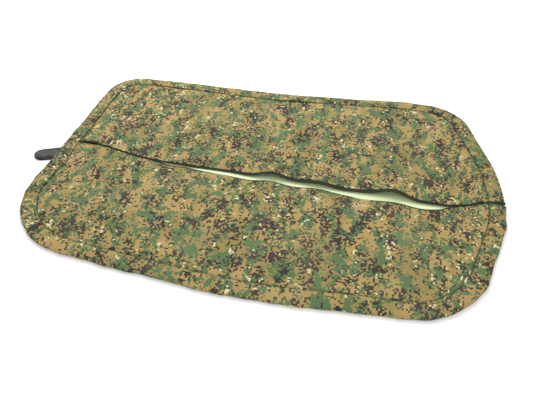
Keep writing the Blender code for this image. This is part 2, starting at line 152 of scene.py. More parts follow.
class Outline:
    """The sack's plan: a ring of even stations, anticlockwise from the head's join."""

    SPACING = 0.004
    ARC_STEP = math.radians(1.5)
    CHUNK = 4000
    FAR_AWAY = 9.0
    CLEAR_OF_MIDDLE = 0.02

    def __init__(self) -> None:
        """Lays the ring out from the frame's borders."""
        self.head_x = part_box("near_border")[0].x
        self.foot_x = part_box("far_notch_hem")[1].x
        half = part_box("far_border_foot")[1].y
        corners = [
            (self.head_x, -0.686, 0.385),
            (0.075, -half - 0.0100, 3.000),
            (self.foot_x - 0.160, -0.695, 0.342),
            (self.foot_x + 0.048, 0.000, 1.000),
            (self.foot_x - 0.189, 0.742, 0.255),
            (0.681, half + 0.0040, 0.760),
            (0.022, 0.688, 2.000),
            (self.head_x, 0.669, 0.181),
        ]
        rough = self._started_at_join(self._rounded(corners))
        self.run = np.arange(0, self._length(rough), self.SPACING)
        self.places = self._resampled(rough, self.run)
        ahead = np.roll(self.places, -1, axis=0) - np.roll(self.places, 1, axis=0)
        self.tangents = ahead / np.linalg.norm(ahead, axis=1)[:, None]
        self.length = self._length(rough)

    def _rounded(self, corners: list[tuple[float, float, float]]) -> np.ndarray:
        """Points along the outline, with an arc at each corner."""
        points = []
        for index, (x, y, radius) in enumerate(corners):
            corner = Vector((x, y))
            before = Vector(corners[index - 1][:2])
            after = Vector(corners[(index + 1) % len(corners)][:2])
            into = (corner - before).normalized()
            out = (after - corner).normalized()
            turn = math.atan2(into.cross(out), into.dot(out))
            side = 1 if turn > 0 else -1
            reach = radius * math.tan(abs(turn) / 2)
            centre = corner - into * reach + side * radius * Vector((-into.y, into.x))
            steps = max(2, math.ceil(abs(turn) / self.ARC_STEP))
            for step in range(steps + 1):
                angle = turn * step / steps
                c = math.cos(angle)
                s = math.sin(angle)
                normal = Vector((into.x * s + into.y * c, into.y * s - into.x * c))
                points.append(centre + side * radius * normal)
        return np.array(points)

    def _started_at_join(self, ring: np.ndarray) -> np.ndarray:
        """The ring, with the place where the border joins put at both its ends."""
        join = np.array([[self.head_x, HEAD_JOIN_Y]])
        return np.vstack([join, ring, join])

    @staticmethod
    def _length(ring: np.ndarray) -> float:
        """Length round the ring."""
        return float(np.linalg.norm(np.diff(ring, axis=0), axis=1).sum())

    @staticmethod
    def _resampled(ring: np.ndarray, run: np.ndarray) -> np.ndarray:
        """Points of the ring at even runs."""
        steps = np.linalg.norm(np.diff(ring, axis=0), axis=1)
        total = np.concatenate([[0], np.cumsum(steps)])
        return np.stack([np.interp(run, total, ring[:, i]) for i in (0, 1)], axis=1)

    def at(self, run: np.ndarray) -> tuple[np.ndarray, np.ndarray]:
        """Place and outward normal at each run round the outline."""
        turn = np.asarray(run, float)
        place = self._read(self.places, turn)
        tangent = self._read(self.tangents, turn)
        tangent /= np.linalg.norm(tangent, axis=-1)[..., None]
        normal = np.stack([tangent[..., 1], -tangent[..., 0]], axis=-1)
        return place, normal

    def _read(self, rows: np.ndarray, run: np.ndarray) -> np.ndarray:
        """Reads rows that belong to the stations at runs between them."""
        return np.stack([np.interp(run, self.run, rows[:, i]) for i in (0, 1)], axis=-1)

    def nearest(self, x: np.ndarray, y: np.ndarray) -> tuple[np.ndarray, np.ndarray]:
        """Distance in from the outline and run round it, for each place."""
        flat = np.stack([np.ravel(x), np.ravel(y)], axis=1)
        inset = np.empty(len(flat))
        run = np.empty(len(flat))
        for start in range(0, len(flat), self.CHUNK):
            chosen = slice(start, start + self.CHUNK)
            part = flat[chosen]
            gap = (part**2).sum(1)[:, None] + (self.places**2).sum(1)[None, :]
            gap -= 2 * part @ self.places.T
            index = gap.argmin(1)
            away = part - self.places[index]
            tangent = self.tangents[index]
            inset[chosen] = tangent[:, 0] * away[:, 1] - tangent[:, 1] * away[:, 0]
            run[chosen] = self.run[index] + (away * tangent).sum(1)
        return inset.reshape(np.shape(x)), run.reshape(np.shape(x))

    def side_at(self, x: np.ndarray, sign: int, inset: float) -> np.ndarray:
        """Y of one long side's inset line at each X; sign is 1 for the far side."""
        normals = np.stack([self.tangents[:, 1], -self.tangents[:, 0]], axis=1)
        line = self.places - normals * inset
        line = line[line[:, 1] * sign > self.CLEAR_OF_MIDDLE]
        line = line[np.argsort(line[:, 0], kind="stable")]
        return np.interp(x, line[:, 0], line[:, 1])

    def run_at_foot(self) -> float:
        """Run round the outline to the middle of the foot end."""
        foot = np.where(self.places[:, 0] > 0, np.abs(self.places[:, 1]), self.FAR_AWAY)
        return float(self.run[foot.argmin()])


@dataclass(frozen=True)
class SlitEdge:
    """One long edge of the slit: crests and troughs that its zip tape runs through."""

    sign: int
    points: tuple[tuple[float, float, float], ...]
    bare_tape: tuple[tuple[float, float], ...]

    def y(self, x: np.ndarray) -> np.ndarray:
        """Y of the coil's inner side."""
        return smooth_through(x, [p[0] for p in self.points], [p[1] for p in self.points])

    def z(self, x: np.ndarray) -> np.ndarray:
        """Height of the edge."""
        return smooth_through(x, [p[0] for p in self.points], [p[2] for p in self.points])

    def bare(self, x: np.ndarray) -> np.ndarray:
        """Width of tape that shows between the coil's inner side and the cloth's hem."""
        return smooth_through(x, [p[0] for p in self.bare_tape], [p[1] for p in self.bare_tape])


FAR_EDGE = SlitEdge(
    1,
    (
        (-0.940, 0.0008, 0.0285),
        (-0.860, 0.0008, 0.0275),
        (-0.740, -0.0160, 0.0245),
        (-0.610, -0.0410, 0.0220),
        (-0.465, -0.0520, 0.0190),
        (-0.290, -0.0525, 0.0165),
        (-0.130, -0.0525, 0.0165),
        (-0.042, -0.0530, 0.0180),
        (0.067, -0.0410, 0.0370),
        (0.180, -0.0500, 0.0215),
        (0.285, -0.0490, 0.0280),
        (0.409, -0.0575, 0.0180),
        (0.505, -0.0540, 0.0210),
        (0.628, -0.0405, 0.0390),
        (0.759, -0.0615, 0.0180),
        (0.846, -0.0600, 0.0180),
        (0.948, -0.0400, 0.0220),
        (1.047, -0.0030, 0.0245),
    ),
    (
        (-0.940, 0.0098),
        (-0.870, 0.0092),
        (-0.800, 0.0058),
        (-0.500, 0.0060),
        (-0.350, 0.0110),
        (-0.050, 0.0160),
        (0.500, 0.0190),
        (0.700, 0.0170),
        (0.850, 0.0110),
        (0.930, 0.0060),
        (1.047, 0.0060),
    ),
)
NEAR_EDGE = SlitEdge(
    -1,
    (
        (-0.940, -0.0008, 0.0285),
        (-0.860, -0.0008, 0.0275),
        (-0.740, -0.0180, 0.0245),
        (-0.610, -0.0430, 0.0220),
        (-0.500, -0.0550, 0.0190),
        (-0.430, -0.0690, 0.0150),
        (-0.350, -0.0640, 0.0150),
        (-0.290, -0.0690, 0.0135),
        (-0.130, -0.0760, 0.0130),
        (-0.042, -0.0820, 0.0130),
        (0.067, -0.0790, 0.0240),
        (0.180, -0.0830, 0.0140),
        (0.285, -0.0790, 0.0210),
        (0.409, -0.0860, 0.0130),
        (0.505, -0.0940, 0.0130),
        (0.640, -0.0900, 0.0190),
        (0.759, -0.0980, 0.0120),
        (0.830, -0.0880, 0.0140),
        (0.895, -0.0575, 0.0190),
        (0.948, -0.0415, 0.0215),
        (1.047, -0.0046, 0.0240),
    ),
    (
        (-0.940, 0.0098),
        (-0.870, 0.0092),
        (-0.800, 0.0058),
        (1.047, 0.0058),
    ),
)


@dataclass(frozen=True)
class Lie:
    """How the empty sack lies: the height of its top over the whole plan."""

    outline: Outline
    insets: tuple[float, ...] = (0.0125, 0.028, 0.045, 0.062, 0.073, 0.084, 0.120, 0.200)
    heights: tuple[float, ...] = (0.0222, 0.0260, 0.0274, 0.0260, 0.0206, 0.0232, 0.0254, 0.0262)
    swell: Ripple = Ripple(0.36, 0.0022, 11)
    dimple: Ripple = Ripple(0.12, 0.0011, 12)
    crumple: Ripple = Ripple(0.045, 0.0004, 13)
    pucker: Ripple = Ripple(0.047, 0.0015, 14)
    corner_pucker: Ripple = Ripple(0.060, 0.0044, 15)
    slit_reach: float = 0.060

    def corner_share(self, x: np.ndarray, y: np.ndarray) -> np.ndarray:
        """How near each place is to a corner of the sack, from 0 to 1."""
        share = np.zeros(np.shape(x))
        for corner_x, corner_y in ((-0.94, -0.62), (-0.96, 0.60), (0.97, -0.62), (0.96, 0.66)):
            away = np.hypot(x - corner_x, y - corner_y)
            share = np.maximum(share, np.exp(-((away / 0.26) ** 2)))
        return share

    def top(self, x: np.ndarray, y: np.ndarray, edge: SlitEdge | None = None) -> np.ndarray:
        """Height of the top cloth's upper face.

        Args:
            x: places along the sack.
            y: places across it.
            edge: the slit edge that this cloth ends at, or None on the border.

        Returns:
            The height at each place.
        """
        inset, run = self.outline.nearest(x, y)
        height = smooth_through(inset, list(self.insets), list(self.heights))
        loose = smoothstep(inset, SEAM, 0.15)
        height += self.swell.at(x, y) * (0.25 + 0.75 * loose)
        height += self.dimple.at(x, y) * (0.4 + 0.6 * loose)
        height += self.crumple.at(x, y)
        height += self._puckers(x, y, inset, run)
        return self._at_slit(x, y, height, edge)

    def _puckers(
        self, x: np.ndarray, y: np.ndarray, inset: np.ndarray, run: np.ndarray
    ) -> np.ndarray:
        """Creases that run square to the seam and die out away from it."""
        fade = np.where(inset > SEAM, 0.045, 0.026)
        near_seam = np.exp(-np.abs(inset - SEAM) / fade)
        still = np.zeros_like(run)
        depth = self.pucker.at(run, still)
        depth += self.corner_pucker.at(run, still) * self.corner_share(x, y)
        return depth * near_seam

    def _at_slit(
        self, x: np.ndarray, y: np.ndarray, height: np.ndarray, edge: SlitEdge | None
    ) -> np.ndarray:
        """The height, drawn to the height of the slit's edge close to it."""
        chosen = edge or FAR_EDGE
        start = chosen.points[0][0]
        end = chosen.points[-1][0]
        along = np.clip(x, start, end)
        away = np.hypot(y - chosen.y(along), x - along)
        share = np.exp(-((away / self.slit_reach) ** 2))
        return height * (1 - share) + chosen.z(along) * share


# ---------------------------------------------------------------- making of meshes


def grid_normals(points: np.ndarray) -> np.ndarray:
    """Unit normals of a grid of points, one for each."""
    down = np.gradient(points, axis=0)
    across = np.gradient(points, axis=1)
    normal = np.cross(across, down)
    return normal / np.maximum(np.linalg.norm(normal, axis=-1), 1e-12)[..., None]


def grid_area(points: np.ndarray) -> float:
    """Area of the surface through a grid of points."""
    first = points[1:, 1:] - points[:-1, :-1]
    second = points[1:, :-1] - points[:-1, 1:]
    return float(np.linalg.norm(np.cross(first, second), axis=-1).sum() / 2)


def new_object(name: str, mesh: bpy.types.Mesh) -> bpy.types.Object:
    """Links an object of the mesh into the scene."""
    made = bpy.data.objects.new(name, mesh)
    bpy.context.scene.collection.objects.link(made)
    return made


def cloth_shell(
    name: str,
    points: np.ndarray,
    uv: np.ndarray,
    thickness: float,
    finish: bpy.types.Material,
    sharp_deg: float = 55.0,
) -> bpy.types.Object:
    """Builds a closed sheet of even thickness under a grid of points.

    Args:
        name: the object's name.
        points: rows by columns of places on the upper face.
        uv: where each place lies on the cloth before it is sewn, in metres.
        thickness: of the sheet.
        finish: its material.
        sharp_deg: edges that turn more than this stay sharp.

    Returns:
        The new object.
    """
    rows, columns = points.shape[:2]
    normals = grid_normals(points)
    flip = normals[..., 2].sum() < 0
    if flip:
        normals = -normals
    under = points - normals * thickness
    vertices = np.concatenate([points.reshape(-1, 3), under.reshape(-1, 3)])
    index = np.arange(rows * columns).reshape(rows, columns)
    quads = np.stack(
        [index[:-1, :-1], index[:-1, 1:], index[1:, 1:], index[1:, :-1]], axis=-1
    ).reshape(-1, 4)
    if flip:
        quads = quads[:, ::-1]
    lower = quads[:, ::-1] + rows * columns
    rim = np.concatenate([index[0, :], index[1:, -1], index[-1, -2::-1], index[-2:0:-1, 0]])
    following = np.roll(rim, -1)
    wall = np.stack([following, rim, rim + rows * columns, following + rows * columns], axis=-1)
    if flip:
        wall = wall[:, ::-1]
    faces = np.concatenate([quads, lower, wall])
    mesh = bpy.data.meshes.new(name)
    mesh.from_pydata(vertices.tolist(), [], faces.tolist())
    layer = mesh.uv_layers.new(name=CLOTH_UV)
    both = np.concatenate([uv.reshape(-1, 2), uv.reshape(-1, 2)])
    corners = np.empty(len(mesh.loops), np.int32)
    mesh.loops.foreach_get("vertex_index", corners)
    layer.data.foreach_set("uv", both[corners].astype(np.float32).ravel())
    mesh.shade_smooth()
    mesh.set_sharp_from_angle(angle=math.radians(sharp_deg))
    mesh.materials.append(finish)
    mesh.update()
    return new_object(name, mesh)


def grid(x: np.ndarray, y: np.ndarray, z: np.ndarray) -> np.ndarray:
    """A grid of places, from a row of X and grids of Y and Z."""
    return np.stack([np.broadcast_to(x, y.shape), y, z], axis=-1)


def plan_uv(x: np.ndarray, y: np.ndarray, offset: tuple[float, float]) -> np.ndarray:
    """Cloth coordinates of a piece that lies flat, moved over the print by an offset."""
    return np.stack([x + offset[0], y + offset[1]], axis=-1)


def evaluated_mesh(made: bpy.types.Object, name: str) -> bpy.types.Object:
    """Replaces an object by a plain one with its modifiers' result."""
    bpy.context.view_layer.update()
    graph = bpy.context.evaluated_depsgraph_get()
    mesh = bpy.data.meshes.new_from_object(made.evaluated_get(graph))
    old = made.data
    made.modifiers.clear()
    bpy.data.objects.remove(made)
    bpy.data.meshes.remove(old)
    mesh.name = name
    return new_object(name, mesh)


# ---------------------------------------------------------------- nodes


class Bench:
    """A node tree that is being wired."""

    def __init__(self, tree: bpy.types.NodeTree) -> None:
        """Takes the tree to wire."""
        self.tree = tree

    def node(
        self, kind: str, settings: dict | None = None, inputs: dict | None = None
    ) -> bpy.types.Node:
        """Adds one node.

        Args:
            kind: the node's type.
            settings: its properties, set before its sockets.
            inputs: values or links of its sockets, by name or number.

        Returns:
            The new node.
        """
        made = self.tree.nodes.new(kind)
        for name, value in (settings or {}).items():
            setattr(made, name, value)
        for key, value in (inputs or {}).items():
            self.feed(made.inputs[key], value)
        return made

    def flow(
        self, kind: str, settings: dict | None = None, **inputs: object
    ) -> bpy.types.NodeSocket:
        """First output of a new node; an underscore in an input's name is a space."""
        named = {name.replace("_", " "): value for name, value in inputs.items()}
        return self.node(kind, settings, named).outputs[0]

    def feed(self, socket: bpy.types.NodeSocket, value: object) -> None:
        """Sets a socket to a value, or links it to a signal or another socket."""
        source = value.socket if isinstance(value, Signal) else value
        if isinstance(source, bpy.types.NodeSocket):
            self.tree.links.new(source, socket)
        else:
            socket.default_value = source


class Signal:
    """A number that varies over a surface; arithmetic on it adds Math nodes."""

    def __init__(self, bench: Bench, socket: bpy.types.NodeSocket) -> None:
        """Wraps a socket of the bench's tree."""
        self.bench = bench
        self.socket = socket

    def math(self, operation: str, *values: object) -> "Signal":
        """A Math node with this signal first."""
        return self.of(self.bench, operation, self, *values)

    @staticmethod
    def of(bench: Bench, operation: str, *values: object) -> "Signal":
        """A Math node of the values, in their order."""
        made = bench.node("ShaderNodeMath", {"operation": operation}, dict(enumerate(values)))
        return Signal(bench, made.outputs[0])

    def __add__(self, other: object) -> "Signal":
        """Sum."""
        return self.math("ADD", other)

    __radd__ = __add__

    def __sub__(self, other: object) -> "Signal":
        """Difference."""
        return self.math("SUBTRACT", other)

    def __rsub__(self, other: object) -> "Signal":
        """Difference, reflected."""
        return self.of(self.bench, "SUBTRACT", other, self)

    def __mul__(self, other: object) -> "Signal":
        """Product."""
        return self.math("MULTIPLY", other)

    __rmul__ = __mul__

    def __gt__(self, edge: object) -> "Signal":
        """1 where the signal is above the edge, and 0 elsewhere."""
        return self.math("GREATER_THAN", edge)

    def wave(self, length: float) -> "Signal":
        """A sine of the signal, from 0 to 1, that repeats at the length."""
        return (self * (2 * math.pi / length)).math("SINE") * 0.5 + 0.5

    def band(self, low: float, high: float) -> "Signal":
        """Rises smoothly from 0 at low to 1 at high."""
        made = self.bench.node(
            "ShaderNodeMapRange",
            {"interpolation_type": "SMOOTHSTEP"},
            {"Value": self, "From Min": low, "From Max": high},
        )
        return Signal(self.bench, made.outputs[0])


class Finish:
    """Base of every finish: a material with a Principled shader and shared tools."""

    def __init__(self, name: str, **constants: float) -> None:
        """Starts the material, with the shader sockets that stay constant."""
        self.material = bpy.data.materials.new(name)
        self.material.use_nodes = True
        self.bench = Bench(self.material.node_tree)
        self.shader = self.material.node_tree.nodes["Principled BSDF"]
        for socket, value in constants.items():
            self.shader.inputs[socket.replace("_", " ")].default_value = value

    def cloth_place(self) -> bpy.types.NodeSocket:
        """Where the point lies on the flat cloth, in metres."""
        return self.bench.node("ShaderNodeUVMap", {"uv_map": CLOTH_UV}).outputs[0]

    def object_place(self) -> bpy.types.NodeSocket:
        """Where the point lies in the frame, in metres."""
        return self.bench.node("ShaderNodeTexCoord").outputs["Object"]

    def vector(self, operation: str, first: object, second: object) -> bpy.types.NodeSocket:
        """Result of a Vector Math node."""
        made = self.bench.node(
            "ShaderNodeVectorMath", {"operation": operation}, {0: first, 1: second}
        )
        return made.outputs[0]

    def parts(self, place: bpy.types.NodeSocket) -> tuple[Signal, Signal, Signal]:
        """The three parts of a vector."""
        made = self.bench.node("ShaderNodeSeparateXYZ", None, {0: place})
        return tuple(Signal(self.bench, made.outputs[i]) for i in range(3))

    def noise(self, place: object, scale: float, detail: float = 2.0, rough: float = 0.5) -> Signal:
        """Soft noise, about 0.5, with features about 1/scale metres across."""
        made = self.bench.node(
            "ShaderNodeTexNoise",
            None,
            {"Vector": place, "Scale": scale, "Detail": detail, "Roughness": rough},
        )
        return Signal(self.bench, made.outputs[0])

    def grain(self, place: object) -> Signal:
        """An even random number for each place."""
        made = self.bench.node("ShaderNodeTexWhiteNoise", None, {"Vector": place})
        return Signal(self.bench, made.outputs[0])

    def mix(self, share: object, first: object, second: object, how: str = "MIX") -> object:
        """A colour between two, by a share or a signal."""
        made = self.bench.node(
            "ShaderNodeMix",
            {"data_type": "RGBA", "blend_type": how},
            {0: share, 6: first, 7: second},
        )
        return made.outputs[2]

    def bump(self, height: Signal, distance: float, strength: float = 1.0) -> None:
        """Feeds the shader's normal with a height."""
        made = self.bench.node(
            "ShaderNodeBump", None, {"Height": height, "Distance": distance, "Strength": strength}
        )
        self.bench.feed(self.shader.inputs["Normal"], made.outputs[0])

    def wear(self, colour: object, roughness: object) -> bpy.types.Material:
        """Feeds the shader's colour and roughness and gives the material."""
        self.bench.feed(self.shader.inputs["Base Color"], colour)
        self.bench.feed(self.shader.inputs["Roughness"], roughness)
        return self.material


@dataclass(frozen=True)
class PrintedCloth:
    """Nylon cloth with a print of small squares in two tans, green, dark and cream.

    A cloth with a crease has painted shade along its seamed edge, where its second coordinate is a whole
    number: a darker colour stands for the shadow in the seam's fold.
    """

    name: str = "printed_cloth"
    # crease is the width and crease_shade the strength of the painted shade along the seam
    crease: float = 0.0
    crease_shade: float = 0.72
    cell: float = 0.0078
    tan: tuple[int, int, int] = (176, 149, 92)
    dull_tan: tuple[int, int, int] = (152, 134, 80)
    green: tuple[int, int, int] = (92, 116, 74)
    dark: tuple[int, int, int] = (60, 50, 46)
    cream: tuple[int, int, int] = (222, 212, 164)

    def build(self) -> bpy.types.Material:
        """The material."""
        finish = Finish(self.name, Specular_IOR_Level=0.22)
        place = finish.cloth_place()
        cell = finish.vector("SNAP", place, (self.cell,) * 3)
        square = finish.vector("MULTIPLY", cell, (1.30, 0.80, 1.0))
        moved = finish.vector("ADD", square, (7.3, 2.9, 0.4))
        spot = finish.grain(cell) - 0.5
        other_spot = finish.grain(moved) - 0.5
        ground = finish.noise(square, 5.0, 2.0)
        green = (finish.noise(square, 14.0, 4.0, 0.68) + spot * 0.13) > 0.507
        dark = (finish.noise(moved, 14.0, 5.0, 0.74) + other_spot * 0.20) > 0.558
        lit = finish.vector("ADD", square, (1.7, 8.1, 0.9))
        cream = (finish.noise(lit, 17.0, 3.0, 0.66) + spot * 0.20) > 0.692
        colour = finish.mix(ground.band(0.44, 0.60), srgb(*self.tan), srgb(*self.dull_tan))
        colour = finish.mix(green, colour, srgb(*self.green))
        colour = finish.mix(dark, colour, srgb(*self.dark))
        colour = finish.mix(cream, colour, srgb(*self.cream))
        fade = finish.noise(place, 6.0, 3.0).band(0.35, 0.70) * 0.07
        colour = finish.mix(fade, colour, srgb(196, 188, 152))
        along, across, _ = finish.parts(place)
        # painted shade: near the seamed edge the colour is drawn towards near-black, standing for the
        # shadow in the seam's fold
        if self.crease:
            from_seam = across.math("FRACT").band(self.crease * 0.6, self.crease * 1.3)
            colour = finish.mix((1.0 - from_seam) * self.crease_shade, colour, srgb(26, 28, 20))
        weave = along.wave(0.0016) * across.wave(0.0016)
        crumple = finish.noise(place, 55.0, 3.0, 0.55)
        finish.bump(crumple * 0.85 + weave * 0.15, 0.0016, 0.55)
        roughness = 0.74 + 0.16 * finish.noise(place, 30.0)
        return finish.wear(colour, roughness)


@dataclass(frozen=True)
class CoatedLining:
    """Pale waterproof lining with a soft shine and long fine creases, with painted shade along the
    creases.
    """

    pale: tuple[int, int, int] = (232, 244, 196)
    shade: tuple[int, int, int] = (204, 220, 160)

    def build(self) -> bpy.types.Material:
        """The material."""
        finish = Finish("coated_lining", Coat_Weight=0.10, Coat_Roughness=0.35)
        place = finish.cloth_place()
        long_creases = finish.vector("MULTIPLY", place, (1.2, 14.0, 1.0))
        crease = finish.noise(long_creases, 8.0, 3.0, 0.6)
        cloudy = finish.noise(place, 25.0, 3.0)
        # painted shade: the crease noise darkens the colour, standing for shade in the creases
        colour = finish.mix(crease.band(0.35, 0.75), srgb(*self.pale), srgb(*self.shade))
        along, across, _ = finish.parts(place)
        weave = along.wave(0.0012) * across.wave(0.0012)
        finish.bump(crease * 0.7 + cloudy * 0.2 + weave * 0.1, 0.0012, 0.6)
        return finish.wear(colour, 0.42 + 0.20 * cloudy)


@dataclass(frozen=True)
class WovenTape:
    """Dark olive woven tape, with a twill of fine slanting ridges."""

    name: str = "olive_tape"
    body: tuple[int, int, int] = (34, 42, 27)
    worn: tuple[int, int, int] = (66, 76, 52)

    def build(self) -> bpy.types.Material:
        """The material."""
        finish = Finish(self.name, Specular_IOR_Level=0.2)
        place = finish.cloth_place()
        along, across, _ = finish.parts(place)
        twill = (along + across).wave(0.0022)
        worn = finish.noise(place, 90.0, 3.0)
        colour = finish.mix(worn.band(0.5, 0.8), srgb(*self.body), srgb(*self.worn))
        finish.bump(twill, 0.0003, 0.7)
        return finish.wear(colour, 0.62 + 0.25 * worn)


@dataclass(frozen=True)
class CoilNylon:
    """Moulded nylon of the zip's coils and the sewing thread."""

    name: str
    body: tuple[int, int, int]
    rough: float

    def build(self) -> bpy.types.Material:
        """The material."""
        finish = Finish(self.name)
        place = finish.object_place()
        speckle = finish.noise(place, 400.0, 2.0)
        light = tuple(min(255, int(part * 1.35) + 6) for part in self.body)
        colour = finish.mix(speckle.band(0.4, 0.7), srgb(*self.body), srgb(*light))
        finish.bump(speckle, 0.0001, 0.4)
        return finish.wear(colour, self.rough + 0.2 * speckle)


@dataclass(frozen=True)
class LoopWebbing:
    """Dark webbing with fine ribs both ways; both edges painted near-black, partly a darker selvedge and
    partly painted shade of the edges that curl down.
    """

    half_width: float
    middle: tuple[int, int, int] = (72, 80, 72)
    rim: tuple[int, int, int] = (8, 10, 8)

    def build(self) -> bpy.types.Material:
        """The material."""
        finish = Finish("loop_webbing", Specular_IOR_Level=0.3)
        place = finish.cloth_place()
        across, along, _ = finish.parts(place)
        edge = across.math("ABSOLUTE").band(self.half_width * 0.42, self.half_width * 0.72)
        rib = along.wave(0.0030) * 0.6 + across.wave(0.0042) * 0.4
        cloudy = finish.noise(place, 60.0, 3.0)
        colour = finish.mix(cloudy.band(0.35, 0.7), srgb(*self.middle), srgb(32, 39, 33))
        # near-black rim along both edges: partly the darker selvedge, partly painted shade where the
        # edges curl down away from the light
        colour = finish.mix(edge, colour, srgb(*self.rim))
        finish.bump(rib, 0.0004, 0.6)
        return finish.wear(colour, 0.34 + 0.25 * cloudy)


@dataclass(frozen=True)
class Gunmetal:
    """Dark plated zinc of the slider, its pull and the zip's stops."""

    plating: tuple[int, int, int] = (74, 80, 70)
    bare: tuple[int, int, int] = (150, 150, 138)

    def build(self) -> bpy.types.Material:
        """The material."""
        finish = Finish("gunmetal", Metallic=0.85)
        place = finish.object_place()
        scuff = finish.noise(place, 260.0, 4.0, 0.65)
        colour = finish.mix(scuff.band(0.56, 0.74), srgb(*self.plating), srgb(*self.bare))
        finish.bump(scuff, 0.0002, 0.3)
        return finish.wear(colour, 0.28 + 0.3 * scuff)


# ---------------------------------------------------------------- repeated items


ROW_SIZES = ("Spacing", "Length", "Width", "Height", "Wire")


class RowItem(Enum):
    """What is repeated along a path."""

    STITCH = "stitch"
    COIL_TURN = "coil_turn"


@dataclass(frozen=True)
class Row:
    """Items set out evenly along a path by geometry nodes."""

    item: RowItem
    spacing: float
    length: float
    width: float
    height: float
    wire: float = 0.0

    def _tree(self) -> bpy.types.NodeTree:
        """The node group, with a named input for each size."""
        tree = bpy.data.node_groups.new(f"row_of_{self.item.value}", "GeometryNodeTree")
        face = tree.interface
        face.new_socket("Path", in_out="INPUT", socket_type="NodeSocketGeometry")
        for name in ROW_SIZES:
            face.new_socket(name, in_out="INPUT", socket_type="NodeSocketFloat")
        face.new_socket("Finish", in_out="INPUT", socket_type="NodeSocketMaterial")
        face.new_socket("Row", in_out="OUTPUT", socket_type="NodeSocketGeometry")
        self._wire(Bench(tree))
        return tree

    def _item(self, bench: Bench, given: bpy.types.Node) -> bpy.types.NodeSocket:
        """One item, with X along the path and Z up."""
        size = bench.flow(
            "ShaderNodeCombineXYZ",
            X=given.outputs["Length"],
            Y=given.outputs["Width"],
            Z=given.outputs["Height"],
        )
        if self.item is RowItem.STITCH:
            bead = bench.flow("GeometryNodeMeshIcoSphere", Radius=0.5, Subdivisions=1)
            return bench.flow("GeometryNodeTransform", Geometry=bead, Scale=size)
        circle = "GeometryNodeCurvePrimitiveCircle"
        ring = bench.flow(circle, Resolution=8, Radius=0.5)
        tilt = (0.0, math.radians(90), math.radians(14))
        stood = bench.flow("GeometryNodeTransform", Geometry=ring, Rotation=tilt)
        sized = bench.flow("GeometryNodeTransform", Geometry=stood, Scale=size)
        thread = bench.flow(circle, Resolution=5, Radius=given.outputs["Wire"])
        return bench.flow("GeometryNodeCurveToMesh", Curve=sized, Profile_Curve=thread)

    def _wire(self, bench: Bench) -> None:
        """Sets the item out along the path, as plain mesh in the finish."""
        given = bench.node("NodeGroupInput")
        curve = bench.flow("GeometryNodeMeshToCurve", Mesh=given.outputs["Path"])
        even = bench.flow(
            "GeometryNodeResampleCurve",
            {"mode": "LENGTH"},
            Curve=curve,
            Length=given.outputs["Spacing"],
        )
        heading = bench.flow("GeometryNodeInputTangent")
        turn = bench.node(
            "FunctionNodeAxesToRotation",
            {"primary_axis": "X", "secondary_axis": "Z"},
            {0: heading, 1: (0.0, 0.0, 1.0)},
        )
        item = self._item(bench, given)
        placed = bench.flow(
            "GeometryNodeInstanceOnPoints", Points=even, Instance=item, Rotation=turn.outputs[0]
        )
        real = bench.flow("GeometryNodeRealizeInstances", Geometry=placed)
        smooth = bench.flow("GeometryNodeSetShadeSmooth", Geometry=real)
        dressed = bench.flow(
            "GeometryNodeSetMaterial", Geometry=smooth, Material=given.outputs["Finish"]
        )
        bench.node("NodeGroupOutput", None, {"Row": dressed})

    def along(
        self, name: str, path: np.ndarray, finish: bpy.types.Material
    ) -> bpy.types.Object:
        """Sets the items out along the path.

        Args:
            name: the object's name.
            path: points of the path.
            finish: the items' material.

        Returns:
            One plain mesh of all the items.
        """
        mesh = bpy.data.meshes.new(name)
        edges = [(i, i + 1) for i in range(len(path) - 1)]
        mesh.from_pydata(path.tolist(), edges, [])
        made = new_object(f"{name}_path", mesh)
        modifier = made.modifiers.new("row", "NODES")
        modifier.node_group = self._tree()
        values = {size: getattr(self, size.lower()) for size in ROW_SIZES}
        values["Finish"] = finish
        for item in modifier.node_group.interface.items_tree:
            if item.item_type == "SOCKET" and item.name in values:
                modifier[item.identifier] = values[item.name]
        return evaluated_mesh(made, name)


SEAM_STITCH = Row(RowItem.STITCH, 0.0042, 0.0036, 0.0016, 0.0010)
HEM_STITCH = Row(RowItem.STITCH, 0.0036, 0.0027, 0.0007, 0.0006)
COIL = Row(RowItem.COIL_TURN, 0.0020, 0.0012, 0.0034, 0.0023, 0.00042)


@dataclass(frozen=True)
class Finishes:
    """Every material of the sack."""

    cloth: bpy.types.Material
    border: bpy.types.Material
    lining: bpy.types.Material
    tape: bpy.types.Material
    hem: bpy.types.Material
    coil: bpy.types.Material
    thread: bpy.types.Material
    webbing: bpy.types.Material
    metal: bpy.types.Material


def make_finishes() -> Finishes:
    """Builds the materials."""
    return Finishes(
        cloth=PrintedCloth().build(),
        # the border cloth gets painted shade along its seam
        border=PrintedCloth("border_cloth", crease=0.0048).build(),
        lining=CoatedLining().build(),
        tape=WovenTape().build(),
        hem=WovenTape("green_hem", (62, 80, 58), (98, 118, 84)).build(),
        coil=CoilNylon("coil_nylon", (34, 42, 34), 0.35).build(),
        thread=CoilNylon("thread", (88, 84, 58), 0.6).build(),
        webbing=LoopWebbing(0.042).build(),
        metal=Gunmetal().build(),
    )


# ---------------------------------------------------------------- sub-assemblies


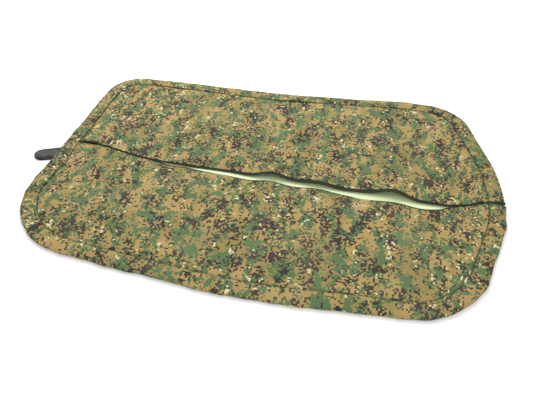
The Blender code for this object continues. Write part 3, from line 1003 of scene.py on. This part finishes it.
@dataclass
class Border:
    """The strip of cloth that wraps round the sack's edge, from seam to floor."""

    outline: Outline
    lie: Lie
    finishes: Finishes
    thickness: float = 0.0013
    side_inset: float = 0.0125
    hem_width: float = 0.0095
    slant_reach: float = 0.12
    slant_slack: float = 1e-6
    column_spacing: float = 0.007
    stitch_share: float = 0.055
    notch_halves: dict = field(default_factory=lambda: {1: (0.0010, 0.0150), -1: (0.0010, 0.0070)})
    bulge: Ripple = Ripple(0.11, 0.0016, 21)
    wobble: Ripple = Ripple(0.30, 0.0016, 22)

    @staticmethod
    def _shares() -> np.ndarray:
        """Shares across the strip: 0 at the seam, 1 where the side starts, 2 under it."""
        top = np.linspace(0, 1, 12)[:-1]
        side = np.linspace(1, 2, 13)
        return np.concatenate([top, side, [2.5, 3.0]])

    def points(self, run: np.ndarray, share: np.ndarray) -> np.ndarray:
        """Places on the strip's outer face.

        Args:
            run: runs round the outline.
            share: shares across the strip.

        Returns:
            A place for each pair.
        """
        place, normal = self.outline.at(run)
        still = np.zeros_like(run)
        fat = self.bulge.at(run, still)
        shift = self.wobble.at(run, still)
        seam_inset = SEAM + 0.0022
        on_top = np.clip(share, 0, 1)
        round_side = np.clip(share - 1, 0, 1)
        below = np.clip(share - 2, 0, 1)
        inset = seam_inset + (self.side_inset - seam_inset) * on_top
        angle = math.pi * round_side
        inset = inset - (self.side_inset + fat) * np.sin(angle) + 0.008 * below
        spot = place - normal * (inset + shift)[..., None]
        flat = place - normal * (np.maximum(inset, self.side_inset) + shift)[..., None]
        top = self.lie.top(flat[..., 0], flat[..., 1])
        top += 0.0012 * (1 - smoothstep(on_top, 0.16, 0.26))
        crown = np.where(share <= 1, top, 0.0)
        wall = 0.0007 + (top - 0.0007) * (0.5 + 0.5 * np.cos(angle))
        height = np.where(share <= 1, crown, np.where(share <= 2, wall, 0.0007))
        roll = 0.0014 * np.exp(-((on_top / 0.03) ** 2)) * (share < 1)
        return np.concatenate([spot, (height - roll)[..., None]], axis=-1)

    def notch_half(self, sign: int, share: np.ndarray) -> np.ndarray:
        """Half the notch's gap on one side: narrow at the seam, wide at the edge."""
        narrow, wide = self.notch_halves[sign]
        return narrow + (wide - narrow) * smoothstep(share, 0.0, 1.2)

    def _half(self, name: str, sign: int, start: float, end: float) -> bpy.types.Object:
        """One side's strip, between two runs, with its notch end slanted."""
        share = self._shares()
        runs = np.linspace(start, end, round(abs(end - start) / self.column_spacing))
        grid_run, grid_share = np.meshgrid(runs, share, indexing="ij")
        foot = self.outline.run_at_foot()
        away = np.abs(grid_run - foot)
        gap = self.notch_half(sign, grid_share) + self.hem_width * 0.6
        whole = self.slant_reach - self.slant_slack
        eased = gap + (away - away.min()) * (self.slant_reach - gap) / whole
        slanted = np.where(away < self.slant_reach, foot + sign * eased, grid_run)
        grid_run = np.clip(slanted, 0.0, self.outline.length - 1e-4)
        points = self.points(grid_run, grid_share)
        steps = np.linalg.norm(np.diff(points[0], axis=0), axis=1)
        across = np.concatenate([[0], np.cumsum(steps)])
        uv = plan_uv(grid_run, np.broadcast_to(across, grid_run.shape), (5.3, sign))
        made = cloth_shell(name, points, uv, self.thickness, self.finishes.border, 70)
        return made

    def _hem(self, name: str, sign: int) -> bpy.types.Object:
        """The green facing that turns in round one side of the foot notch."""
        share = self._shares()
        reach = np.array([self.hem_width, 0.006, 0.003, 0.0008, 0.0, 0.0006, 0.0020, 0.0032])
        lift = np.array([0.0006, 0.0012, 0.0014, 0.0012, 0.0, -0.0030, -0.0080, -0.0130])
        grid_reach, grid_share = np.meshgrid(reach, share, indexing="ij")
        grid_lift = np.broadcast_to(lift[:, None], grid_reach.shape)
        foot = self.outline.run_at_foot()
        run = foot + sign * (self.notch_half(sign, grid_share) + grid_reach)
        base = self.points(run, grid_share)
        outward = self._outward(run, grid_share)
        raised = 0.0035 if sign > 0 else 0.0
        points = base + outward * grid_lift[..., None]
        points[..., 2] += raised * np.exp(-grid_reach / 0.006) * smoothstep(grid_share, 0.2, 1.0)
        points[..., 2] = np.maximum(points[..., 2], 0.0016)
        uv = np.stack([grid_reach, grid_share * 0.04], axis=-1)
        return cloth_shell(name, points, uv, 0.0009, self.finishes.hem, 70)

    def _outward(self, run: np.ndarray, share: np.ndarray) -> np.ndarray:
        """Outward normals of the strip."""
        nudge = 0.001
        along = self.points(run + nudge, share) - self.points(run - nudge, share)
        across = self.points(run, np.minimum(share + 0.02, 3)) - self.points(run, share - 0.02)
        normal = np.cross(across, along)
        normal /= np.maximum(np.linalg.norm(normal, axis=-1), 1e-9)[..., None]
        return normal

    def _stitches(self, name: str, start: float, end: float) -> bpy.types.Object:
        """The row of stitches that holds the strip to the top."""
        runs = np.linspace(start, end, round(abs(end - start) / PATH_STEP))
        path = self.points(runs, np.full_like(runs, self.stitch_share))
        path[:, 2] += 0.0002
        return SEAM_STITCH.along(name, path, self.finishes.thread)

    def build(self) -> None:
        """Makes the strips, hems and stitches and ties them to the frame."""
        foot = self.outline.run_at_foot()
        strip_gap = 0.004
        stitch_gap = 0.016
        end = self.outline.length - 1e-4
        near = self._half("near_border_cloth", -1, 0.0, foot - strip_gap)
        far = self._half("far_border_cloth", 1, foot + strip_gap, end)
        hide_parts("near_border")
        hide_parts("far_border_head", "far_border_foot")
        far_hem = self._hem("far_notch_facing", 1)
        near_hem = self._hem("near_notch_facing", -1)
        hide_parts("far_notch_hem")
        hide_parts("near_notch_hem")
        stitches = [
            self._stitches("near_border_stitches", 0.0, foot - stitch_gap),
            self._stitches("far_border_stitches", foot + stitch_gap, end),
        ]
        for made in (near, far):
            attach(made, "root")
        for made in (far_hem, near_hem, *stitches):
            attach(made, "root")
        for made in (near, far, far_hem, near_hem, *stitches):
            LOG.info("border piece %s", made.name)


@dataclass
class TopHalf:
    """One half of the top: cloth, lining, zip tape, coil, stitches and stop."""

    side: str
    edge: SlitEdge
    fold: tuple[float, float]
    print_offset: tuple[float, float]
    outline: Outline
    lie: Lie
    finishes: Finishes
    thickness: float = 0.0013
    hem_rows: tuple[float, ...] = (0.0, 0.0007, 0.0020, 0.0050, 0.0085, 0.0105, 0.0150)
    hem_lift: tuple[float, ...] = (-0.0010, -0.0002, 0.0004, 0.0006, 0.0005, 0.0001, 0.0)
    outer_rows: int = 74
    end_x: float = 1.050
    zip_end_x: float = 1.046
    tape_margin: float = 0.0070

    def fold_y(self, x: np.ndarray) -> np.ndarray:
        """Y of the line that this half lifts about."""
        return self.fold[0] + self.fold[1] * x

    def columns(self) -> np.ndarray:
        """X of the grid's columns, close together at both ends."""
        start = self.outline.head_x + SEAM - UNDERLAP
        ends = np.array([0, 0.0008, 0.0020, 0.0040, 0.0070, 0.0115])
        inner = np.arange(start + 0.018, self.end_x - 0.014, STEP)
        inner = inner + (HALVES_MEET_X - inner[np.abs(inner - HALVES_MEET_X).argmin()])
        return np.concatenate([start + ends, inner, (self.end_x - ends)[::-1]])

    def flap_rows(self, x: np.ndarray) -> np.ndarray:
        """Y of the flap's grid: hem rows first, then even ones out to the fold."""
        sign = self.edge.sign
        start = self.edge.y(x) + sign * self.edge.bare(x)
        outer = self.outline.side_at(x, sign, SEAM - UNDERLAP)
        end = np.minimum(outer * sign, self.fold_y(x) * sign) * sign
        hem = np.array(self.hem_rows)
        even = np.linspace(0, 1, self.outer_rows)[1:]
        rows = [start + sign * row for row in hem]
        rows += [rows[len(hem) - 1] + (end - rows[len(hem) - 1]) * share for share in even]
        return np.array(rows)

    def flap_points(self) -> np.ndarray:
        """The flap's grid of places."""
        x = self.columns()
        y = self.flap_rows(x)
        grid_x = np.broadcast_to(x, y.shape)
        z = self.lie.top(grid_x, y, self.edge)
        z[: len(self.hem_lift)] += np.array(self.hem_lift)[:, None]
        z -= self._tuck(grid_x, y)
        return grid(x, y, z)

    def _tuck(self, x: np.ndarray, y: np.ndarray) -> np.ndarray:
        """How far the cloth goes down to pass under the border's edge."""
        inset, _ = self.outline.nearest(x, y)
        return 0.0034 * (1 - smoothstep(inset, SEAM + 0.0005, SEAM + 0.0065))

    def margin_points(self) -> np.ndarray:
        """The grid between the fold and the seam, which never moves."""
        x = self.columns()
        sign = self.edge.sign
        outer = self.outline.side_at(x, sign, SEAM - UNDERLAP)
        inner = self.fold_y(x)
        wide = (outer - inner) * sign > 0.0015
        x = x[wide]
        y = inner[wide] + (outer - inner)[wide] * np.linspace(0, 1, 10)[:, None]
        grid_x = np.broadcast_to(x, y.shape)
        z = self.lie.top(grid_x, y, self.edge) - self._tuck(grid_x, y)
        return grid(x, y, z)

    def _cloth(self, name: str, points: np.ndarray) -> bpy.types.Object:
        """One piece of the top's printed cloth."""
        uv = plan_uv(points[..., 0], points[..., 1], self.print_offset)
        made = cloth_shell(name, points, uv, self.thickness, self.finishes.cloth)
        self._declare(made, points)
        return made

    def _lining(self, name: str, points: np.ndarray) -> bpy.types.Object:
        """The lining under a piece of the top."""
        under = points.copy()
        under[..., 2] -= self.thickness + 0.0006
        uv = plan_uv(points[..., 0], points[..., 1], NO_OFFSET)
        made = cloth_shell(name, under, uv, 0.0007, self.finishes.lining)
        self._declare(made, under)
        return made

    @staticmethod
    def _every_other(points: np.ndarray) -> np.ndarray:
        """Every other column of a grid, with both end columns kept."""
        if points.shape[1] % 2:
            return points[:, ::2]
        return np.concatenate([points[:, :-1:2], points[:, -1:]], axis=1)

    @staticmethod
    def _declare(made: bpy.types.Object, points: np.ndarray, held: str = "laid") -> None:
        """Takes a piece and its points and does nothing with them."""

    def _tape_points(self, x: np.ndarray) -> np.ndarray:
        """The zip tape's grid, from the coil's inner side to under the cloth."""
        sign = self.edge.sign
        start = self.edge.y(x)
        width = self.edge.bare(x) + self.tape_margin
        y = np.array([start + sign * width * share for share in np.linspace(0, 1, 9)])
        grid_x = np.broadcast_to(x, y.shape)
        z = self.lie.top(grid_x, y, self.edge) - 0.0016
        z -= 0.0008 * smoothstep(np.abs(y - start), 0.004, 0.012)
        return grid(x, y, z)

    def _tape(self, name: str, start: float, end: float) -> bpy.types.Object:
        """A length of zip tape."""
        x = np.linspace(start, end, round((end - start) / PATH_STEP))
        points = self._tape_points(x)
        uv = plan_uv(points[..., 0], points[..., 1], NO_OFFSET)
        made = cloth_shell(name, points, uv, 0.0009, self.finishes.tape)
        width = float(np.ptp(points[:, 0, 1]))
        length = end - start
        area = grid_area(points)
        widest = max(width, area / length)
        return made

    def _row(
        self, name: str, row: Row, into: float, above: float, span: tuple[float, float],
        finish: bpy.types.Material,
    ) -> bpy.types.Object:
        """A row of items that follows the slit's edge.

        Args:
            name: the object's name.
            row: what is repeated.
            into: distance from the coil's inner side, or from the hem if negative.
            above: height over the cloth's upper face.
            span: X of its two ends.
            finish: its material.

        Returns:
            The row.
        """
        x = np.linspace(*span, round((span[1] - span[0]) / PATH_STEP))
        inward = np.full_like(x, into) if into >= 0 else self.edge.bare(x) - into
        y = self.edge.y(x) + self.edge.sign * inward
        z = self.lie.top(x, y, self.edge) + above
        return row.along(name, np.stack([x, y, z], axis=-1), finish)

    def _stop(self, name: str) -> bpy.types.Object:
        """The metal stop crimped over the coil's foot end."""
        low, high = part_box(f"{self.side}_bottom_stop")
        x = np.linspace(low.x, high.x, 6)
        angle = np.linspace(0.0, math.pi, 9)
        half = 0.0024
        centre = self.edge.y(x) + self.edge.sign * 0.0019
        y = centre + half * np.cos(angle)[:, None]
        base = self.lie.top(x, centre, self.edge) - 0.0016
        z = base + 0.0030 * np.sin(angle)[:, None] ** 0.7
        points = grid(x, y, z)
        uv = plan_uv(points[..., 0], y, NO_OFFSET)
        made = cloth_shell(name, points, uv, 0.0005, self.finishes.metal)
        return made

    def _bend(self, made: bpy.types.Object) -> bpy.types.Object:
        """Logs the piece and bakes its place into its mesh."""
        LOG.info("%s piece %s", self.side, made.name)
        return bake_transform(made)

    def build(self) -> None:
        """Makes the half and ties its margin cloth and lining to the frame."""
        side = self.side
        flap = self.flap_points()
        middle = int(np.abs(flap[0, :, 0] - HALVES_MEET_X).argmin())
        margin = self.margin_points()
        edge_cloth = self._cloth(f"{side}_top_margin", margin)
        edge_lining = self._lining(f"{side}_lining_margin", margin[:, ::2])
        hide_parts(f"{side}_top_panel")
        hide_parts(f"{side}_top_lining")
        for made in (edge_cloth, edge_lining):
            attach(made, "root")
        start = self.outline.head_x + SEAM - 0.002
        spans = {"head": (start, HALVES_MEET_X), "foot": (HALVES_MEET_X, self.zip_end_x)}
        stop_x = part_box(f"{side}_bottom_stop")[0].x
        for end, span in spans.items():
            head = end == "head"
            part = flap[:, : middle + 1] if head else flap[:, middle:]
            cloth = self._cloth(f"{side}_top_{end}", part)
            lining = self._lining(f"{side}_lining_{end}", self._every_other(part)[2:])
            tape = self._tape(f"{side}_zip_tape_{end}", *span)
            inner = (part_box(f"{side}_coil_end")[0].x, span[1]) if head else (span[0], stop_x)
            coil = self._row(f"{side}_zip_coil_{end}", COIL, 0.0019, 0.0003, inner,
                             self.finishes.coil)
            stitches = self._row(f"{side}_hem_stitches_{end}", HEM_STITCH, -0.0085, 0.0008, span,
                                 self.finishes.thread)
            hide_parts(f"{side}_top_panel")
            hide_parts(f"{side}_top_lining")
            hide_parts(f"{side}_tape")
            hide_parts(f"{side}_coil")
            if head:
                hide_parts("head_tape_end")
                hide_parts(f"{side}_coil_end")
            for made in (cloth, lining, tape, coil, stitches):
                self._bend(made)
        stop = self._stop(f"{side}_zip_stop")
        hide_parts(f"{side}_bottom_stop")
        self._bend(stop)


@dataclass
class Floor:
    """The ground sheet and the pale lining that shows through the slit."""

    outline: Outline
    finishes: Finishes
    sheet_inset: float = 0.0150
    lining_inset: float = 0.0240
    creases: Ripple = Ripple(0.045, 0.0007, 31, stretch=9.0)
    folds: Ripple = Ripple(0.16, 0.0009, 32, stretch=2.0)
    billow: float = 0.0066

    def _points(self, inset: float, step: float) -> np.ndarray:
        """A flat grid that fills the outline at an inset."""
        ends = np.array([0.0002, 0.0010, 0.0040, 0.0100])
        start = self.outline.head_x + inset
        end = self.outline.foot_x - inset - 0.002
        x = np.concatenate([start + ends, np.arange(start + 0.02, end - 0.02, step), (end - ends)[::-1]])
        low = self.outline.side_at(x, -1, inset)
        high = self.outline.side_at(x, 1, inset)
        y = low + (high - low) * np.linspace(0, 1, round(1.5 / step))[:, None]
        return grid(x, y, np.zeros_like(y))

    def build(self) -> None:
        """Makes both sheets and ties them to the frame."""
        points = self._points(self.sheet_inset, 0.020)
        points[..., 2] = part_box("floor_panel")[1].z
        uv = plan_uv(points[..., 0], points[..., 1], FLOOR_PRINT_OFFSET)
        ground = cloth_shell("ground_sheet", points, uv, 0.0013, self.finishes.cloth)
        self._tie(ground, points, "floor_panel", "camouflage_cloth", ["floor"])
        points = self._points(self.lining_inset, 0.010)
        x = points[..., 0]
        y = points[..., 1]
        rise = self.creases.at(x, y) + self.folds.at(x, y)
        points[..., 2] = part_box("floor_lining")[1].z + 0.0004 + np.maximum(rise, -0.0002)
        billow = smoothstep(x, -0.65, -0.20) * (1 - smoothstep(x, 0.75, 1.00))
        beside = (y - NEAR_EDGE.y(x) - 0.004) / 0.060
        points[..., 2] += self.billow * billow * np.exp(-(beside**2))
        uv = plan_uv(x, y, NO_OFFSET)
        lining = cloth_shell("floor_lining_sheet", points, uv, 0.0008, self.finishes.lining)
        self._tie(lining, points, "floor_lining", "coated_lining", ["floor_panel"])

    @staticmethod
    def _tie(
        made: bpy.types.Object, points: np.ndarray, node: str, slot: str, under: list[str]
    ) -> None:
        """Hides the frame's part and lets the sheet ride on the sack."""
        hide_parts(node)
        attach(made, "root")
        LOG.info("floor piece %s", made.name)


@dataclass
class HangLoop:
    """The folded webbing loop at the head end, and its sewn-in tail."""

    finishes: Finishes
    tilt: float = math.radians(22)
    ply: float = 0.0019
    half_width: float = 0.0440
    lengthwise: int = 22
    roundness: float = 0.95

    def _reach(self, low: Vector, root_x: float) -> float:
        """Length of the loop along its own line, from the head edge to its tip."""
        return (root_x - low.x) / math.cos(self.tilt) - 0.005

    def build(self) -> None:
        """Makes the loop and its tail and ties the tail to the frame."""
        low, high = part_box("hang_loop")
        root_x = high.x
        tail_low, tail_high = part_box("hang_loop_tail")
        root_y = (tail_low.y + tail_high.y) / 2 + 0.003
        along = np.array([-math.cos(self.tilt), -math.sin(self.tilt)])
        across = np.array([math.sin(self.tilt), -math.cos(self.tilt)])
        reach = self._reach(low, root_x)
        half = self.half_width
        top = high.z - 0.0002
        bottom = low.z + self.ply
        middle = (top + bottom) / 2
        bend = (top - bottom) / 2
        fold = reach - bend
        upper = np.linspace(-0.004, fold, self.lengthwise)
        turns = np.linspace(math.pi / 2, -math.pi / 2, 9)[1:-1]
        runs = np.concatenate([upper, fold + bend * np.cos(turns), upper[::-1]])
        turned = middle + bend * np.sin(turns)
        flat = np.ones(self.lengthwise)
        levels = np.concatenate([flat * top, turned, flat * bottom])
        share = np.linspace(-1, 1, 19)
        widths = half * (1 - 0.06 * smoothstep(runs, 0.0, reach))
        side = widths[:, None] * share
        skew = side * math.tan(self.tilt) * (1 - smoothstep(runs, 0.0, 0.05))[:, None]
        rounding = 1 - self.roundness * half / reach * (1 - np.sqrt(1 - (0.985 * share) ** 2))
        lead = runs[:, None] * rounding + skew
        plan = np.array([root_x + 0.0005, root_y]) + lead[..., None] * along
        plan = plan + side[..., None] * across
        curl = (levels - bottom)[:, None] * 0.62 * np.abs(share) ** 3.2
        wavy = 0.0006 * np.sin(runs * 90)[:, None] * (levels > middle)[:, None]
        height = levels[:, None] - curl + wavy
        points = np.concatenate([plan, height[..., None]], axis=-1)
        distance = np.concatenate([[0], np.cumsum(np.hypot(np.diff(runs), np.diff(levels)))])
        along_strap = np.broadcast_to(distance[:, None], side.shape)
        uv = np.stack([side / widths[:, None] * half, along_strap], axis=-1)
        loop = cloth_shell("hang_loop_webbing", points, uv, self.ply * 0.8, self.finishes.webbing, 60)
        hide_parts("hang_loop")
        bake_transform(loop)
        LOG.info("loop piece %s", loop.name)
        self._tail()

    def _tail(self) -> None:
        """The loop's end, sewn down inside the head end."""
        low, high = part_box("hang_loop_tail")
        x = np.linspace(low.x, high.x, 8)
        y = np.linspace(low.y, high.y, 20)[:, None] + 0 * x
        z = high.z + 0.0002 * np.cos((y - low.y) * 160)
        points = grid(x, y, z)
        uv = np.stack([points[..., 1] - (low.y + high.y) / 2, points[..., 0]], axis=-1)
        tail = cloth_shell("hang_loop_sewn_tail", points, uv, self.ply, self.finishes.webbing)
        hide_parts("hang_loop_tail")
        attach(tail, "root")
        LOG.info("loop piece %s", tail.name)


@dataclass
class ZipHead:
    """The slider, its pull and the stop where the zip starts."""

    finishes: Finishes

    def build(self) -> None:
        """Dresses the slider and pull and makes the pull tape and the head stop."""
        for node in ("slider_body", "pull_tab"):
            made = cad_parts[node]
            made.data.materials.clear()
            made.data.materials.append(self.finishes.metal)
        self._pull_tape()
        self._head_stop()

    def _pull_tape(self) -> None:
        """The woven tape folded through the metal tab and sewn to itself."""
        low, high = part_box("pull_tape")
        x = np.linspace(low.x, high.x, 25)
        share = np.linspace(-1, 1, 13)[:, None]
        narrow = 1 - 0.25 * smoothstep(x, high.x - 0.004, high.x) ** 2
        y = share * (high.y - 0.0002) * narrow
        crown = 0.0003 * np.cos(share * math.pi / 2) + 0.0002 * np.sin((x - low.x) * 260)
        z = high.z - 0.0005 + crown
        points = grid(x, y, z)
        uv = plan_uv(points[..., 0], points[..., 1], NO_OFFSET)
        made = cloth_shell("pull_tape_webbing", points, uv, high.z - low.z - 0.0004,
                           self.finishes.tape)
        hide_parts("pull_tape")
        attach(made, "pull")
        inset = 0.0025
        box = [
            (low.x + inset, low.y + inset),
            (high.x - inset, low.y + inset),
            (high.x - inset, high.y - inset),
            (low.x + inset, high.y - inset),
            (low.x + inset, low.y + inset),
        ]
        path = np.array([(x, y, high.z) for x, y in box])
        stitches = HEM_STITCH.along("pull_tape_stitches", path, self.finishes.thread)
        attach(stitches, "pull")
        LOG.info("zip piece %s", made.name)

    def _head_stop(self) -> None:
        """The metal stop crimped over both coils."""
        low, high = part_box("head_stop")
        x = np.linspace(low.x, high.x, 6)
        angle = np.linspace(0.0, math.pi, 13)[:, None]
        y = (high.y - 0.0002) * np.cos(angle) + 0 * x
        z = low.z + (high.z - low.z) * np.sin(angle) ** 0.5 + 0 * x
        points = grid(x, y, z)
        uv = plan_uv(points[..., 0], y, NO_OFFSET)
        made = cloth_shell("head_zip_stop", points, uv, 0.0005, self.finishes.metal)
        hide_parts("head_stop")
        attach(made, "root")
        LOG.info("zip piece %s", made.name)


@dataclass(frozen=True)
class Studio:
    """Pale floor, soft light and the camera."""

    camera_place: tuple[float, float, float] = (0.527, -2.078, 1.740)
    camera_pitch_deg: float = 41.83
    camera_heading_deg: float = 13.41
    lens_mm: float = 38.93
    world_strength: float = 0.84
    key_watts: float = 130.0
    fill_share: float = 0.30

    def build(self) -> None:
        """Makes the floor, the lights, the world and the camera."""
        scene = bpy.context.scene
        scene.view_settings.view_transform = "Standard"
        self._floor()
        self._world(scene)
        self._light("key", (-0.9, 2.4, 3.0), 2.6, self.key_watts)
        self._light("fill", (0.6, -2.6, 2.6), 3.0, self.key_watts * self.fill_share)
        camera = bpy.data.cameras.new("camera")
        camera.lens = self.lens_mm
        camera.sensor_width = 36.0
        holder = bpy.data.objects.new("camera", camera)
        holder.location = self.camera_place
        holder.rotation_euler = (
            math.radians(90 - self.camera_pitch_deg),
            0,
            math.radians(self.camera_heading_deg),
        )
        scene.collection.objects.link(holder)
        scene.camera = holder

    @staticmethod
    def _floor() -> None:
        """A wide pale floor just under the sack."""
        half = 14.0
        mesh = bpy.data.meshes.new("studio_floor")
        corners = [(-half, -half), (half, -half), (half, half), (-half, half)]
        mesh.from_pydata([(x, y, -0.0006) for x, y in corners], [], [(0, 1, 2, 3)])
        finish = bpy.data.materials.new("pale_floor")
        finish.use_nodes = True
        shader = finish.node_tree.nodes["Principled BSDF"]
        shader.inputs["Base Color"].default_value = (0.92, 0.92, 0.92, 1)
        shader.inputs["Roughness"].default_value = 0.9
        shader.inputs["Specular IOR Level"].default_value = 0.1
        mesh.materials.append(finish)
        new_object("studio_floor", mesh)

    def _world(self, scene: bpy.types.Scene) -> None:
        """Even white light from all round."""
        world = bpy.data.worlds.new("studio")
        world.use_nodes = True
        light = world.node_tree.nodes["Background"]
        light.inputs["Color"].default_value = (1, 1, 1, 1)
        light.inputs["Strength"].default_value = self.world_strength
        scene.world = world

    @staticmethod
    def _light(name: str, place: tuple[float, float, float], size: float, watts: float) -> None:
        """A square soft light that faces the sack."""
        lamp = bpy.data.lights.new(name, "AREA")
        lamp.size = size
        lamp.energy = watts
        holder = bpy.data.objects.new(name, lamp)
        holder.location = place
        holder.rotation_euler = Vector(place).to_track_quat("Z", "Y").to_euler()
        bpy.context.scene.collection.objects.link(holder)


def main() -> None:
    """Builds every sub-assembly in order."""
    logging.basicConfig(level=logging.INFO, format="%(name)s: %(message)s")
    Studio().build()
    finishes = make_finishes()
    outline = Outline()
    lie = Lie(outline)
    Floor(outline, finishes).build()
    Border(outline, lie, finishes).build()
    TopHalf("far", FAR_EDGE, FAR_FOLD, FAR_PRINT_OFFSET, outline, lie, finishes).build()
    TopHalf("near", NEAR_EDGE, NEAR_FOLD, NEAR_PRINT_OFFSET, outline, lie, finishes).build()
    ZipHead(finishes).build()
    HangLoop(finishes).build()


if __name__ == "__main__":
    main()
